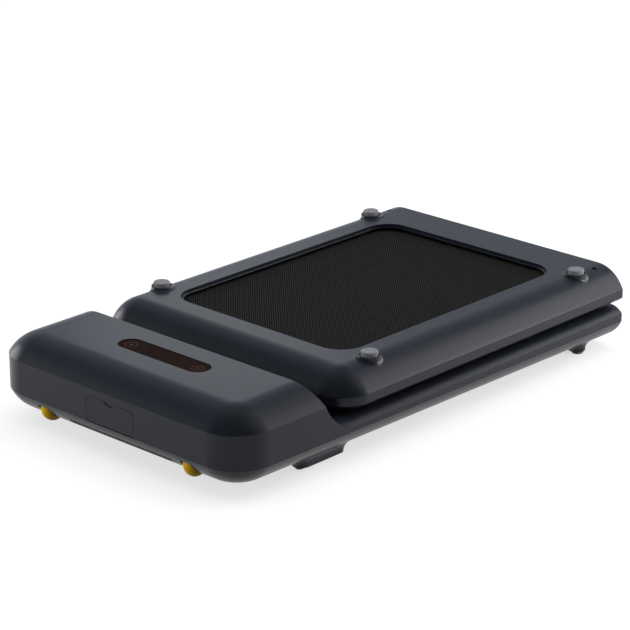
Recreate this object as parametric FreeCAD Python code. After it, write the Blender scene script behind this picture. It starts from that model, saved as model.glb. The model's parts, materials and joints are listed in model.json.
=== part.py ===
import FreeCAD, Part
import math
import os

# Folding walking pad, folded: the rear half lies upside down on the front half.
# X runs from the front wall to the fold, Y across, Z up. The origin is on the floor under the middle.
# "Depth" is the distance from the fold plane into either half, so one section serves both halves.

V = FreeCAD.Vector
os.makedirs("parts", exist_ok=True)

# Overall sizes
body_length = 880.0           # front wall to fold end
body_width = 518.0
hood_room = 217.0             # front wall to tail: the rear half is shorter by this
hinge_height = 71.3           # floor to fold axis
hinge_gap = 0.5               # fold axis beyond the end faces
wall = 2.6                    # moulded shells
seam = 0.3                    # between mouldings that meet
cut_overrun = 6.0             # how far a cut runs past what it cuts
touch = 0.001                 # closer than this counts as touching

# Section of one half
rail_depth = 2.8              # top of the side rail
band_top_depth = 13.5         # upright band on the side, upper edge
band_foot_depth = 27.0        # its lower edge, where the mouldings part
flat_depth = 61.1             # flat underside
rail_round = 23.0             # how far the rail's rounding reaches in from the side
side_round = 52.0             # the same for the underside
bottom_rise = 7.0             # the front half's underside rises this much to the front wall
front_corner = 64.0           # plan radius of the front corners
tail_corner = 54.0            # plan radius of the tail corners

# Hood
hood_height = 135.0
crease_height = 104.3
hood_round = 56.0             # how far its edge rounding reaches in
hood_rear_radius = 75.0       # hollow rear face
hood_rear_foot = 250.0        # front wall to where the rear face runs out
hood_lip_land = 2.0
hood_belt_gap = 1.0           # under the hood's lip
hood_gap_length = 14.0

# Walking belt, rollers and deck
rail_width = 59.0             # side to belt edge
belt_thickness = 1.8
belt_depth = 5.5              # walking face
fold_return_depth = 10.5      # return run where it crosses the fold
belt_edge_gap = 4.0           # belt edge to rail
roller_radius = 20.4
roller_overhang = 2.0         # roller end past the belt edge
roller_bore = 14.0
roller_clear = 0.3            # belt to roller
axle_radius = 7.5
running_clear = 0.05
bearing_width = 11.0
drive_roller_place = 178.0    # front wall to drive roller axis
tail_roller_place = 36.0      # tail end to tail roller axis
idler_radius = 9.0
idler_axle_radius = 4.0
upper_idler_place = 22.0      # fold axis to upper idler axis
incline_angle = 60.0          # of the return run between the idlers, degrees
deck_clear = 0.3
deck_thickness = 12.4
deck_edge = 5.0               # deck past the belt edge
deck_roller_gap = 5.0         # deck end to roller
deck_fold_gap = 36.0          # fold axis to the deck's full thickness
deck_tongue = 1.8             # thin lip that carries the belt to the fold
tongue_gap = 3.0
tail_lip = 14.0               # rail cover's lip over the tail roller, past its axis towards the tail

# Steel frame
beam_room = 28.0              # belt edge to beam
beam_inset = 13.0             # side to beam
beam_depth = 10.0
beam_height = 24.0
beam_wall = 2.0
beam_fold_gap = 6.0
beam_front_place = 120.0      # front wall to beam end
beam_tail_gap = 46.0          # tail end to beam end
cross_height = 14.0
cross_width = 25.0
cross_wall = 2.0
cross_fold_gap = 130.0        # fold end to the nearest cross tube
cross_tail_gap = 153.0        # tail end to the farthest one
cross_count = 3

# Fold hinge
hinge_pin_radius = 3.0
hinge_knuckle = 7.0
ear_thickness = 6.0
ear_gap = 1.0
ear_room = 7.6                # belt edge to the first ear
ear_neck = 14.0               # fold axis to the plate part of the ear
ear_plate_depth = 12.0
ear_plate_foot = 34.0
ear_length = 64.0
ear_drop = 48.0               # lower end, which carries the lower idler
ear_drop_start = 44.0
ear_block_start = 20.0        # block that spaces the ear from the beam
hinge_pocket_length = 17.0
hinge_pocket_depth = 12.0
fold_wall_depth = 14.0        # upper edge of the end wall under the belt

# Underside
window_fold = 73.5            # fold end to belt window
window_tail_gap = 81.0        # tail end to window
window_side = 76.5            # side to window
window_corner = 42.0
window_rim_drop = 8.0         # rim wall, inwards from the flat
front_rim_drop = 4.0          # the same on the front half, where the belt runs closer
window_lip = 3.5              # ledge on the rim wall
window_lip_drop = 5.0
window_lip_thickness = 1.6
foot_fold = 73.0              # fold end to the near pair of feet
foot_tail_gap = 99.3          # tail end to the other pair
foot_inset = 40.0             # side to feet
foot_radius = 13.0
foot_edge = 1.8
foot_show = 6.5               # rubber that stands out of its boss
foot_sink = 3.0
foot_ring = 2.0               # gap round the rubber
boss_rim = 1.5                # wall round the gap
boss_flare = 8.0              # fillet that runs the boss into the shell
floor_foot_fold = 68.0        # the same sizes for the pair under the front half
floor_foot_inset = 35.0
floor_foot_radius = 9.5
floor_foot_show = 5.0
floor_foot_ring = 1.2
floor_flare = 16.0
pad_place = 207.0             # front wall to the middle of the long foot pads
pad_length = 70.0
pad_boss = 12.7               # half the width of the boss that carries a pad
pad_radius = 6.0
pad_shift = 5.0               # pad inwards of the middle of its boss
pad_flare = 18.0
post_radius = 6.0
post_shares = (0.2, 0.5, 0.86)  # along the beam
screw_fold = 25.6             # fold end to the shell screws
screw_radius = 1.75
screw_head = 3.0
screw_head_height = 2.4
screw_recess = 4.0
screw_recess_depth = 16.0
screw_bite = 8.0
bumper_radius = 7.0
bumper_inset = 35.0
bumper_shares = (0.3, 0.86)   # along the rear half, from the fold

# Front wheels
wheel_place = 26.5            # front wall to axle
wheel_height = 38.2
wheel_inset = 108.0           # side to the middle of the wheel
wheel_radius = 22.0
wheel_width = 20.0
wheel_round = 9.0
wheel_hub = 9.0
wheel_dish = 3.0
wheel_axle_radius = 3.0
wheel_gap = 1.0
cheek_thickness = 4.0
cheek_radius = 9.0

# Air slots under the front wall
vent_margin = 43.0            # wheel to the end of the row
vent_pitch = 8.0
vent_width = 4.6
vent_start = 14.5             # behind the front wall
vent_length = 30.0
vent_middle = -10.0

# Display
display_place = 111.0         # front wall to its middle
display_length = 180.0
display_width = 39.4
display_thickness = 2.2
display_sink = 1.4            # below the hood's top
display_ledge = 3.0
display_ledge_thickness = 2.0
display_clear = 0.25
display_board_length = 150.0
display_board_width = 30.0
display_post = 6.0
display_post_radius = 3.0
board_thickness = 1.6

# Inlet flap, its pocket, inlet and rocker
door_half = 49.3
door_foot = 52.8
door_top = 91.6
door_thickness = 2.4
door_corner = 7.0
door_gap = 0.6
notch_width = 19.0
notch_depth = 5.0
notch_sink = 1.4              # into the face of the flap
door_pin_radius = 1.5
door_pin_height = 57.0
door_pin_place = 3.4          # front wall to pin
door_lug_radius = 3.2
door_lug_inner = 30.0
door_lug_width = 8.0
pin_lug_width = 5.0
pin_lug_reach = 5.5
pin_lug_radius = 4.0
pocket_depth = 26.0
pocket_wall = 2.0
pocket_floor = 63.0
inlet_middle = 18.0
inlet_width = 28.0
inlet_height = 21.0
inlet_depth = 20.0
inlet_flange = 2.0
inlet_shell = 2.2
inlet_cavity = 15.0
inlet_pin_width = 2.0
inlet_pin_height = 4.0
inlet_pin_length = 11.0
inlet_pin_pitch = 7.0
inlet_earth_rise = 4.0
rocker_middle = -22.0
rocker_width = 14.0
rocker_half_height = 7.0
rocker_face = 4.6             # pivot to the raised end
rocker_dip = 2.6              # pivot to the middle of the face
rocker_back = 5.0
rocker_back_half = 4.5
rocker_tilt = 7.0             # degrees
rocker_play = 0.6
rocker_pivot_radius = 1.5
rocker_frame_wall = 2.0
rocker_frame_depth = 12.0
rocker_place = 27.5           # front wall to the rocker's pivot

# Motor and electronics
motor_place = 98.0
motor_height = 68.0
motor_radius = 36.0
motor_gap = 14.0              # pulley to motor
motor_length = 130.0
motor_bell = 4.0              # step of the end caps
motor_cap = 14.0
shaft_radius = 5.0
shaft_clear = 0.05
pulley_gap = 6.0              # beam to pulley
pulley_width = 12.0
roller_pulley_radius = 18.0
motor_pulley_radius = 9.0
roller_hub_radius = 16.5
drive_belt_thickness = 2.6
flywheel_radius = 30.0
flywheel_width = 8.0
flywheel_gap = 2.0
floor_pad_height = 26.0
floor_pad_radius = 6.0
bracket_thickness = 4.0
bracket_half = 32.0
bracket_plate = 5.0
bracket_clear = 0.2
control_place = 100.0
control_inset_side = 79.0     # side to control board
control_length = 84.0
control_width = 110.0
control_inset = 8.0
sink_length = 60.0
sink_width = 70.0
sink_base = 5.0
sink_height = 32.0
sink_fin = 2.0
sink_fin_count = 8

# Values worked out from the sizes above
half_width = body_width / 2
rear_length = body_length - hood_room
belt_half = half_width - rail_width
belt_width = 2 * belt_half
gap_half = belt_half + belt_edge_gap
fold_reach = fold_return_depth + belt_thickness
overall_length = body_length + hinge_gap + fold_reach
front_x = -overall_length / 2
fold_x = front_x + body_length
hinge_x = fold_x + hinge_gap
tail_x = fold_x - rear_length
rail_top = hinge_height - rail_depth
part_height = hinge_height - band_foot_depth
rise_angle = math.degrees(math.atan(bottom_rise / body_length))
wrap_inner = roller_radius + roller_clear
roller_depth = belt_depth + belt_thickness + wrap_inner
return_depth = roller_depth + wrap_inner
roller_half = belt_half + roller_overhang
drive_x = front_x + drive_roller_place
tail_roller_x = tail_x + tail_roller_place
beam_inner = belt_half + beam_room
beam_outer = half_width - beam_inset
cross_pitch = (rear_length - cross_fold_gap - cross_tail_gap) / (cross_count - 1)
window_tail = rear_length - window_tail_gap
window_width = body_width - 2 * window_side
foot_tail = rear_length - foot_tail_gap
foot_side = half_width - foot_inset
boss_radius = foot_radius + foot_ring + boss_rim
floor_foot_side = half_width - floor_foot_inset
floor_boss_radius = floor_foot_radius + floor_foot_ring + boss_rim
bumper_side = half_width - bumper_inset
wheel_side = half_width - wheel_inset
vent_count = int(2 * (wheel_side - vent_margin) / vent_pitch)
pulley_start = pulley_gap - beam_inner
motor_start = pulley_start + pulley_width + motor_gap
control_start = half_width - control_inset_side - control_width
ear_start = belt_half + ear_room
beam_foot = beam_depth + beam_height
deck_depth = belt_depth + belt_thickness + deck_clear
deck_half = belt_half + deck_edge
deck_foot = deck_depth + deck_thickness
motor_x = front_x + motor_place
wheel_x = front_x + wheel_place
pocket_x = front_x + wall + pocket_depth
display_floor = hood_height - display_sink - display_thickness
pocket_middle = (pocket_floor + door_top + door_gap) / 2
rear_ear = (ear_start, ear_start + ear_thickness)
front_ear = (rear_ear[1] + ear_gap, rear_ear[1] + ear_gap + ear_thickness)


# Basic shapes
def box(x0, x1, y0, y1, z0, z1):
    return Part.makeBox(x1 - x0, y1 - y0, z1 - z0, V(x0, y0, z0))


def rod(axis, start, radius, length):
    return Part.makeCylinder(radius, length, V(*start), V(*axis))


def rod_y(x, z, radius, y0, y1):
    return rod((0, 1, 0), (x, y0, z), radius, y1 - y0)


def rod_z(x, y, radius, z0, z1):
    return rod((0, 0, 1), (x, y, z0), radius, z1 - z0)


def ring_y(x, z, inner, outer, y0, y1):
    return rod_y(x, z, outer, y0, y1).cut(rod_y(x, z, inner, y0, y1))


def fuse(shapes):
    return shapes[0].multiFuse(shapes[1:]).removeSplitter()


def cut(shape, tools):
    return shape.cut(Part.Compound(tools))


def prism(points, direction):
    wire = Part.makePolygon([V(*p) for p in points] + [V(*points[0])])
    return Part.Face(wire).extrude(V(*direction))


def both_sides(shape):
    return [shape, shape.mirror(V(0, 0, 0), V(0, 1, 0))]


def pill(x, y_reach, radius, z0, z1):
    ends = [rod_z(x, y, radius, z0, z1) for y in (-y_reach, y_reach)]
    return fuse(ends + [box(x - radius, x + radius, -y_reach, y_reach, z0, z1)])


def rounded_plate(x0, x1, half, corner, z0, z1):
    spots = [(x, y) for x in (x0 + corner, x1 - corner) for y in (corner - half, half - corner)]
    corners = [rod_z(x, y, corner, z0, z1) for x, y in spots]
    bars = [box(x0 + corner, x1 - corner, -half, half, z0, z1),
            box(x0, x1, corner - half, half - corner, z0, z1)]
    return fuse(corners + bars)


# Each half is made depth upwards; these put it in its place
def to_rear(shape):
    return shape.translated(V(0, 0, hinge_height))


def to_front(shape):
    return shape.mirror(V(0, 0, 0), V(0, 0, 1)).translated(V(0, 0, hinge_height))


def tilt(shape):
    return shape.rotated(V(fold_x, 0, part_height), V(0, 1, 0), rise_angle)


def underside_height(x):
    return hinge_height - flat_depth + (fold_x - x) * bottom_rise / body_length


# Moulded edge: an arc that leaves the flat top level and meets the upright side in a crease
def edge_face(corner, top, crease, reach, rim, inset):
    drop = top - crease
    full = (reach ** 2 + drop ** 2) / (2 * drop)
    radius = full - inset
    middle = (corner - reach, top - full)
    side = corner - inset
    meet = middle[1] + math.sqrt(radius ** 2 - (side - middle[0]) ** 2)
    upright = meet - rim > touch
    if not upright:
        meet = rim
        side = middle[0] + math.sqrt(radius ** 2 - (rim - middle[1]) ** 2)
    start = math.atan2(meet - middle[1], side - middle[0])
    half_way = (start + math.pi / 2) / 2
    bend = V(middle[0] + radius * math.cos(half_way), 0, middle[1] + radius * math.sin(half_way))
    low, crest = V(0, 0, rim), V(middle[0], 0, top - inset)
    corner_points = [V(0, 0, top - inset), low, V(side, 0, rim)]
    if upright:
        corner_points.append(V(side, 0, meet))
    edges = [Part.makeLine(a, b) for a, b in zip(corner_points, corner_points[1:])]
    edges.append(Part.Arc(corner_points[-1], bend, crest).toShape())
    edges.append(Part.makeLine(crest, corner_points[0]))
    return Part.Face(Part.Wire(edges))


def side_slabs(face, corner, x0, x1):
    turned = face.rotated(V(0, 0, 0), V(0, 0, 1), 90)
    slab = turned.translated(V(x0, half_width - corner, 0)).extrude(V(x1 - x0, 0, 0))
    return both_sides(slab)


def core_block(face, corner, x0, x1):
    levels = [v.Z for v in face.Vertexes]
    return box(x0, x1, corner - half_width, half_width - corner, min(levels), max(levels))


def round_ended(face, corner, x_end, x_cut):
    x_mid, y_mid = x_end + corner, half_width - corner
    turned = face.rotated(V(0, 0, 0), V(0, 0, 1), 180).translated(V(x_mid, -y_mid, 0))
    end = turned.extrude(V(0, 2 * y_mid, 0))
    bend = turned.revolve(V(x_mid, -y_mid, 0), V(0, 0, 1), 90)
    pieces = [core_block(face, corner, x_mid, x_cut), end]
    return fuse(pieces + both_sides(bend) + side_slabs(face, corner, x_mid, x_cut))


def straight_ended(face, corner, x0, x1):
    return fuse([core_block(face, corner, x0, x1)] + side_slabs(face, corner, x0, x1))


# Lower moulding of a half, depth upwards: solid outside, hollow inside
def tray(x_end, corner):
    outer = edge_face(corner, flat_depth, band_foot_depth, side_round, band_foot_depth, 0)
    inner = edge_face(corner, flat_depth, band_foot_depth, side_round,
                      band_foot_depth - cut_overrun, wall)
    end_wall = box(fold_x - wall, fold_x, -gap_half + ear_gap, gap_half - ear_gap,
                   fold_wall_depth, band_foot_depth + wall)
    outside = round_ended(outer, corner, x_end, fold_x)
    inside = round_ended(inner, corner, x_end, fold_x - wall)
    return outside, inside, end_wall


def window_cut(rim_drop):
    x0, x1 = fold_x - window_tail, fold_x - window_fold
    half, floor = window_width / 2, flat_depth - rim_drop
    ledge = flat_depth - window_lip_drop
    opening = rounded_plate(x0, x1, half, window_corner, floor - cut_overrun, flat_depth + cut_overrun)
    rim = rounded_plate(x0 - wall, x1 + wall, half + wall, window_corner + wall, floor, flat_depth)
    lip = rounded_plate(x0, x1, half, window_corner, ledge - window_lip_thickness, ledge)
    mouth = rounded_plate(x0 + window_lip, x1 - window_lip, half - window_lip,
                          window_corner - window_lip, floor, flat_depth)
    return opening, rim.cut(opening), lip.cut(mouth)


# Hull with columns standing out of it, each run into the hull by a fillet round its foot
def flared(hull, columns, flare):
    skins = [Part.Compound(hull.Faces), Part.Compound([f for c in columns for f in c.Faces])]
    joined = fuse([hull] + columns)

    def on_both(edge):
        middle = Part.Vertex(edge.valueAt((edge.FirstParameter + edge.LastParameter) / 2))
        return all(middle.distToShape(skin)[0] < touch for skin in skins)

    return joined.makeFillet(flare, [e for e in joined.Edges if on_both(e)])


def rubber_foot(x, y, radius, z0, z1):
    foot = rod_z(x, y, radius, z0, z1)
    rims = [e for e in foot.Edges if abs(e.CenterOfMass.z - z1) < foot_edge]
    return foot.makeFillet(foot_edge, [e for e in rims if len(e.Vertexes) == 1])


# Walking belt of one half, depth upwards, from the fold round the roller at roller_x and back
def belt_half_run(roller_x):
    y0, depth = -belt_half, belt_thickness
    ring_inner = idler_radius + roller_clear
    mid_radius = ring_inner + depth / 2
    lower, upper = idler_spots()
    lean = math.radians(incline_angle)

    def strip(x0, x1, d):
        return box(x0, x1, y0, belt_half, d, d + depth)

    def bend(spot, inner, start, sweep):
        ray = V(math.cos(start), 0, math.sin(start))
        mid = V(spot[0], y0, spot[1])
        line = Part.makeLine(mid + ray * inner, mid + ray * (inner + depth))
        strip_face = line.extrude(V(0, belt_width, 0))
        return strip_face.revolve(mid, V(0, 1, 0), math.degrees(sweep))

    quarter = math.pi / 2
    foot = V(lower[0] + mid_radius * math.sin(lean), y0, lower[1] + mid_radius * math.cos(lean))
    head = V(upper[0] - mid_radius * math.sin(lean), y0, upper[1] - mid_radius * math.cos(lean))
    across = V(math.sin(lean), 0, math.cos(lean)) * (depth / 2)
    slope = prism([foot + across, head + across, head - across, foot - across], (0, belt_width, 0))
    runs = [strip(roller_x, hinge_x, belt_depth), strip(roller_x, lower[0], return_depth),
            strip(upper[0], hinge_x, fold_return_depth), slope]
    bends = [bend((roller_x, roller_depth), wrap_inner, quarter, -2 * quarter),
             bend(lower, ring_inner, quarter, lean), bend(upper, ring_inner, 3 * quarter, lean)]
    return fuse(runs + bends)


# Idler axes as (x, depth): the lower one inside the belt loop, the upper one outside it
def idler_spots():
    ring_inner = idler_radius + roller_clear
    mid_radius = ring_inner + belt_thickness / 2
    lean = math.radians(incline_angle)
    upper = (hinge_x - upper_idler_place, fold_reach + ring_inner)
    lower_depth = return_depth - ring_inner
    rise = lower_depth - upper[1] + 2 * mid_radius * math.cos(lean)
    run = rise / math.tan(lean) + 2 * mid_radius * math.sin(lean)
    return (upper[0] - run, lower_depth), upper


def fold_span():
    rings = []
    for inner in (belt_depth, fold_return_depth):
        whole = ring_y(hinge_x, hinge_height, inner, inner + belt_thickness, -belt_half, belt_half)
        reach = fold_reach + cut_overrun
        keep = box(hinge_x, hinge_x + reach, -half_width, half_width,
                   hinge_height - reach, hinge_height + reach)
        rings.append(whole.common(keep))
    return Part.Compound(rings)


# Frame pieces of one half, depth upwards
def beam(x0, x1):
    tube = box(x0, x1, beam_inner, beam_outer, beam_depth, beam_foot)
    hollow = box(x0, x1, beam_inner + beam_wall, beam_outer - beam_wall,
                 beam_depth + beam_wall, beam_foot - beam_wall)
    return tube.cut(hollow)


def cross_tubes():
    tubes = []
    for n in range(cross_count):
        x = fold_x - cross_fold_gap - n * cross_pitch
        outer = box(x - cross_width, x, -beam_inner, beam_inner, deck_foot, deck_foot + cross_height)
        hollow = box(x - cross_width + cross_wall, x - cross_wall, -beam_inner, beam_inner,
                     deck_foot + cross_wall, deck_foot + cross_height - cross_wall)
        tubes.append(outer.cut(hollow))
    return Part.Compound(tubes)


def deck(roller_x):
    x0 = roller_x + wrap_inner + belt_thickness + deck_roller_gap
    main = box(x0, hinge_x - deck_fold_gap, -deck_half, deck_half, deck_depth, deck_foot)
    tongue = box(hinge_x - deck_fold_gap, hinge_x - tongue_gap, -belt_half, belt_half,
                 deck_depth, deck_depth + deck_tongue)
    return fuse([main, tongue])


def hinge_bracket(ear):
    outline = [(0, -hinge_knuckle), (ear_neck, ear_plate_depth), (ear_length, ear_plate_depth),
               (ear_length, ear_drop), (ear_drop_start, ear_drop), (ear_drop_start, ear_plate_foot),
               (ear_neck, ear_plate_foot), (0, hinge_knuckle)]
    plate = prism([(hinge_x - s, ear[0], d) for s, d in outline], (0, ear[1] - ear[0], 0))
    knuckle = rod_y(hinge_x, 0, hinge_knuckle, ear[0], ear[1])
    block = box(hinge_x - ear_length, hinge_x - ear_block_start, ear[1], beam_inner,
                ear_plate_depth, ear_plate_foot)
    bore = rod_y(hinge_x, 0, hinge_pin_radius + running_clear, ear[0], ear[1])
    bracket = fuse([plate, knuckle, block]).cut(bore)
    hole = rod_z(fold_x - screw_fold, foot_side, screw_radius + running_clear,
                 ear_plate_foot - screw_bite, ear_plate_foot)
    return bracket.cut(hole)


def roller(x, z, extra):
    tube = ring_y(x, z, roller_bore, roller_radius, -roller_half, roller_half)
    return fuse([tube] + extra) if extra else tube


def bearings(x, z):
    inner, outer = axle_radius + running_clear, roller_bore
    ring = ring_y(x, z, inner, outer, roller_half - bearing_width, roller_half)
    return Part.Compound(both_sides(ring))


def idlers(place):
    made = []
    for x, depth in idler_spots():
        tube = ring_y(x, depth, idler_axle_radius + running_clear, idler_radius, -roller_half, roller_half)
        made.append(place(tube))
    return made


def idler_axles(place, reach):
    return Part.Compound([place(rod_y(x, d, idler_axle_radius, -reach, reach)) for x, d in idler_spots()])


# Screw that holds the lower moulding to the hinge bracket, and its post, depth upwards
def screw_post(side):
    x, y = fold_x - screw_fold, side * foot_side
    post = rod_z(x, y, post_radius, ear_plate_foot, flat_depth)
    recess = rod_z(x, y, screw_recess, flat_depth - screw_recess_depth, flat_depth + cut_overrun)
    hole = rod_z(x, y, screw_radius + running_clear, ear_plate_foot, flat_depth)
    head_foot = flat_depth - screw_recess_depth
    shank = rod_z(x, y, screw_radius, ear_plate_foot - screw_bite, head_foot)
    head = rod_z(x, y, screw_head, head_foot, head_foot + screw_head_height)
    return post, [recess, hole], fuse([shank, head])


def beam_posts(x0, x1):
    posts = []
    for share in post_shares:
        x = x0 + share * (x1 - x0)
        posts += both_sides(rod_z(x, (beam_inner + beam_outer) / 2, post_radius, beam_foot, flat_depth))
    return posts


# Rear half
rear_beam_ends = (tail_x + beam_tail_gap, fold_x - beam_fold_gap)
front_beam_ends = (front_x + beam_front_place, fold_x - beam_fold_gap)


def rear_bottom_shell():
    outside, inside, end_wall = tray(tail_x, tail_corner)
    opening, rim, lip = window_cut(window_rim_drop)
    spots = [(fold_x - d, side * foot_side) for d in (foot_fold, foot_tail) for side in (-1, 1)]
    top = hinge_height - foot_show
    bosses = [rod_z(x, y, boss_radius, flat_depth - side_round / 2, top + boss_flare) for x, y in spots]
    above = box(tail_x, fold_x, -half_width, half_width, top, top + 2 * boss_flare)
    outside = flared(outside, bosses, boss_flare).cut(above)
    seats = [rod_z(x, y, foot_radius + foot_ring, top - foot_sink, hinge_height) for x, y in spots]
    posts, holes = [], []
    for side in (-1, 1):
        post, drilled, _ = screw_post(side)
        posts.append(post)
        holes += drilled
    posts += beam_posts(*rear_beam_ends)
    inner_posts = Part.Compound(posts).common(outside)
    shell = outside.cut(inside).cut(opening)
    shell = fuse([shell, rim, lip, end_wall] + inner_posts.Solids)
    return to_rear(cut(shell, seats + holes))


def rear_rail_cover():
    top, crease = -rail_depth, -band_top_depth
    rim = seam - band_foot_depth
    outer = edge_face(tail_corner, top, crease, rail_round, rim, 0)
    inner = edge_face(tail_corner, top, crease, rail_round, rim - cut_overrun, wall)
    outside = round_ended(outer, tail_corner, tail_x, fold_x)
    inside = round_ended(inner, tail_corner, tail_x, fold_x - wall)
    lip_x = tail_roller_x - tail_lip
    gap = box(lip_x, fold_x + cut_overrun, -gap_half, gap_half, rim - cut_overrun, 0)
    skirt = box(lip_x, fold_x, gap_half, gap_half + wall, seam - deck_depth, -rail_depth)
    cover = fuse([outside.cut(inside)] + both_sides(skirt)).cut(gap)
    cover = cut(cover, hinge_pocket())
    return cover.mirror(V(0, 0, 0), V(0, 0, 1)).translated(V(0, 0, hinge_height))


# Room in both rail covers for the hinge ears, height upwards from the fold plane
def hinge_pocket():
    pocket = box(hinge_x - hinge_pocket_length, fold_x + cut_overrun, rear_ear[0] - ear_gap,
                 front_ear[1] + ear_gap, -hinge_pocket_depth, cut_overrun)
    end = box(fold_x - wall - cut_overrun, fold_x + cut_overrun, rear_ear[0] - ear_gap,
              front_ear[1] + ear_gap, -band_foot_depth - cut_overrun, cut_overrun)
    return both_sides(pocket) + both_sides(end)


# Belt tension: a bolt pulls each end of the tail axle towards a bracket on the beam
bolt_room = 15.0              # belt edge to bolt
bolt_side = belt_half + bolt_room
bolt_radius = 4.0
bolt_head_radius = 6.5
bolt_head_height = 5.0
bolt_clear = 0.1
bracket_place = 18.0          # tail end to the bracket's outer face
bracket_sheet = 3.0
bracket_height = 12.0
bracket_flange = 60.0         # its length along the beam


def tension_bolts():
    start = tail_x + bracket_place
    shank = rod((1, 0, 0), (start, bolt_side, roller_depth), bolt_radius,
                tail_roller_x + axle_radius - start)
    head = rod((1, 0, 0), (start - bolt_head_height, bolt_side, roller_depth),
               bolt_head_radius, bolt_head_height)
    return Part.Compound([to_rear(s) for s in both_sides(fuse([shank, head]))])


def tension_brackets():
    x = tail_x + bracket_place
    plate = box(x, x + bracket_sheet, bolt_side - bolt_head_radius, beam_inner,
                beam_foot - bracket_height, beam_foot)
    flange = box(x, x + bracket_flange, beam_inner - bracket_sheet, beam_inner,
                 beam_foot - bracket_height, beam_foot)
    hole = rod((1, 0, 0), (x, bolt_side, roller_depth), bolt_radius + bolt_clear, bracket_sheet)
    return Part.Compound([to_rear(s) for s in both_sides(fuse([plate, flange]).cut(hole))])


def tail_axle():
    reach = beam_inner - bracket_sheet
    bar = rod_y(tail_roller_x, roller_depth, axle_radius, -reach, reach)
    hole = rod((1, 0, 0), (tail_roller_x - axle_radius, bolt_side, roller_depth),
               bolt_radius + bolt_clear, 2 * axle_radius)
    return to_rear(cut(bar, both_sides(hole)))


# Front half: hood, front wall and rails in one moulding
def hood_rear_cut(inset):
    low = hinge_height - band_top_depth
    mid = V(front_x + hood_rear_foot, 0, low + hood_rear_radius)
    radius = hood_rear_radius + inset
    dip = math.asin((mid.z - crease_height) / hood_rear_radius)
    bend = (math.pi / 2 + dip) / 2

    def on_arc(angle):
        return mid - V(math.cos(angle), 0, math.sin(angle)) * radius

    climb = (hood_height + cut_overrun - on_arc(dip).z) / math.cos(dip)
    crest = on_arc(dip) + V(-math.sin(dip), 0, math.cos(dip)) * climb
    foot, neck = on_arc(math.pi / 2), on_arc(dip)
    far_high = V(fold_x + cut_overrun, 0, crest.z)
    far_low = V(fold_x + cut_overrun, 0, foot.z)
    edges = [Part.Arc(foot, on_arc(bend), neck).toShape(), Part.makeLine(neck, crest),
             Part.makeLine(crest, far_high), Part.makeLine(far_high, far_low), Part.makeLine(far_low, foot)]
    face = Part.Face(Part.Wire(edges)).translated(V(0, -half_width - cut_overrun, 0))
    return face.extrude(V(0, body_width + 2 * cut_overrun, 0))


def hood_lip_x():
    low = hinge_height - band_top_depth
    height = low + hood_rear_radius - rail_top
    return front_x + hood_rear_foot - math.sqrt(hood_rear_radius ** 2 - height ** 2) + hood_lip_land


def hood_block(inset, rim):
    face = edge_face(front_corner, hood_height, crease_height, hood_round, rim, inset)
    block = round_ended(face, front_corner, front_x, front_x + hood_rear_foot)
    return block.cut(hood_rear_cut(inset))


def rail_block(inset, rim, x_end):
    face = edge_face(front_corner, rail_top, hinge_height - band_top_depth, rail_round, rim, inset)
    return straight_ended(face, front_corner, front_x + front_corner, x_end)


def inlet_pocket():
    half, high = door_half + door_gap, door_top + door_gap
    start = front_x + wall
    outer = box(start, pocket_x + pocket_wall, -half - pocket_wall, half + pocket_wall,
                pocket_floor - pocket_wall, high + pocket_wall)
    inner = box(start, pocket_x, -half, half, pocket_floor, high)
    return outer.cut(inner)


def door_opening():
    half, high = door_half + door_gap, door_top + door_gap
    hole = box(front_x - cut_overrun, front_x + wall, -half, half, part_height - cut_overrun, high)
    return hole.makeFillet(door_corner, [e for e in hole.Edges if is_top_corner(e, high)])


def is_top_corner(edge, high):
    ends = [v.Point for v in edge.Vertexes]
    return all(abs(p.z - high) < seam for p in ends) and abs(ends[0].y - ends[1].y) < seam


def pin_lugs():
    half = door_half + door_gap
    x, z = front_x + door_pin_place, door_pin_height
    block = box(front_x + wall, front_x + wall + pin_lug_reach, half, half + pin_lug_width,
                z - pin_lug_radius, pocket_floor)
    bore = rod_y(x, z, door_pin_radius + running_clear, half, half + pin_lug_width)
    return both_sides(block), both_sides(bore)


def display_posts():
    x, top = front_x + display_place, display_floor - display_ledge_thickness
    reach = display_board_length / 2 - display_post_radius
    side = display_board_width / 2 + display_ledge
    spots = [(x + dx, y) for dx in (-side, side) for y in (-reach, reach)]
    return [rod_z(px, y, display_post_radius, top - display_post, top) for px, y in spots]


def front_top_cover():
    rim = part_height
    outside = fuse([hood_block(0, rim), rail_block(0, rim, fold_x)])
    inside = fuse([hood_block(wall, rim - cut_overrun), rail_block(wall, rim - cut_overrun, fold_x - wall)])
    lip_x = hood_lip_x()
    skirt = box(lip_x, fold_x, gap_half, gap_half + wall, hinge_height - deck_depth + seam, rail_top)
    lugs, bores = pin_lugs()
    cover = outside.cut(inside)
    cover = fuse([cover, inlet_pocket()] + both_sides(skirt) + lugs + display_posts())
    gap = box(lip_x, fold_x + cut_overrun, -gap_half, gap_half, rim - cut_overrun, rail_top + rail_depth)
    under_lip = box(lip_x - hood_gap_length, lip_x + seam, -gap_half, gap_half,
                    rim - cut_overrun, hinge_height - belt_depth + hood_belt_gap)
    x, reach = front_x + display_place, (display_length - display_width) / 2
    radius = display_width / 2
    floor = display_floor
    ledge = pill(x, reach, radius + display_ledge, floor - display_ledge_thickness, hood_height - wall)
    cover = fuse([cover, ledge])
    recess = pill(x, reach, radius + display_clear, floor, hood_height + cut_overrun)
    light = pill(x, reach, radius - display_ledge, floor - wall - cut_overrun, hood_height)
    below = tilt(box(front_x - body_width, fold_x + body_width, -body_width, body_width,
                     part_height - body_width, part_height + seam))
    pockets = [p.translated(V(0, 0, hinge_height)) for p in hinge_pocket()]
    panel = [inlet_hole(), rocker_hole()]
    return cut(cover, [gap, under_lip, recess, light, below, door_opening()] + pockets + panel + bores)


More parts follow.
